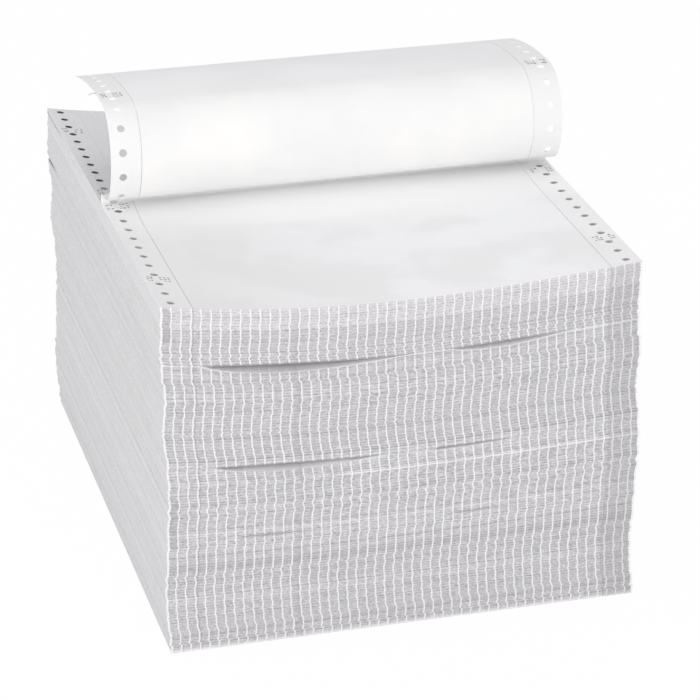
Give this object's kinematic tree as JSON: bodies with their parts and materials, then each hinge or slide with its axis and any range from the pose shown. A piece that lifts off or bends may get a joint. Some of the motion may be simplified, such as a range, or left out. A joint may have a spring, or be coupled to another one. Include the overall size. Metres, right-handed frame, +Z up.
{
  "type": "pack of continuous form paper",
  "caption": "Fan-folded pack of white continuous form paper with sprocket-hole strips; the leading form lies on top and curls up over the middle.",
  "frame": {"origin": "centre of the footprint, on the face that the pack stands on", "axes": "+X along the folds to the right as seen from the front fold, +Y from the front fold to the back fold, +Z up"},
  "size_m": [0.2454, 0.3065, 0.2372],
  "materials": {
    "form_paper": "matt uncoated"
  },
  "bodies": {
    "root": {"form_pack": "form_paper", "leading_form": "form_paper"}
  },
  "joints": []
}
